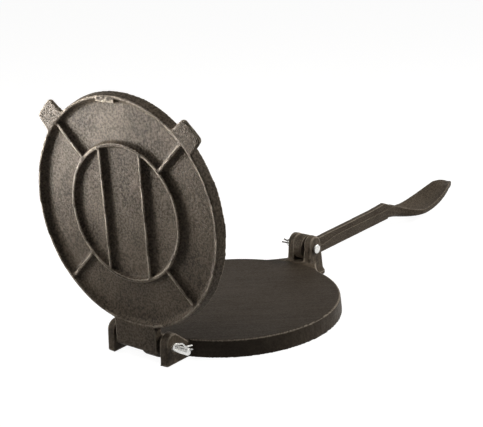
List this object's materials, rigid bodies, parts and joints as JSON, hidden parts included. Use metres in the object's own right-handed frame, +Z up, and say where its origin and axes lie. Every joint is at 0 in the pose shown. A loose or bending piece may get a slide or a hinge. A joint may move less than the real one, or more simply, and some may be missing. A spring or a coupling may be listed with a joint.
{
  "type": "tortilla press",
  "caption": "Cast-iron hinged press, open: round base, ribbed press plate upright on its hinge pin, spoon-ended lever folded out on a clevis.",
  "frame": {"origin": "middle of the base disc, on the table plane", "axes": "+Z up, +X from the plate hinge to the lever, both hinge pins along Y; drawn open as pictured"},
  "size_m": [0.5224, 0.2026, 0.2289],
  "materials": {
    "iron": "seasoned grey iron, fine sand-cast grain, satin",
    "zinc_steel": "bright zinc-plated steel"
  },
  "bodies": {
    "base": {"base_casting": "iron", "hinge_pin": "zinc_steel", "hinge_clip": "zinc_steel", "lever_pin": "zinc_steel", "lever_clip": "zinc_steel"},
    "plate": {"press_plate": "iron"},
    "lever": {"lever": "iron"}
  },
  "joints": [
    {"name": "plate_hinge", "type": "hinge", "parent": "base", "child": "plate", "pos_m": [-0.114, 0, 0.015], "axis": [0, 1, 0], "range_deg": [0, 91.9]},
    {"name": "lever_pivot", "type": "hinge", "parent": "base", "child": "lever", "pos_m": [0.1155, 0, 0.0282], "axis": [0, -1, 0], "range_deg": [0, 145]}
  ]
}
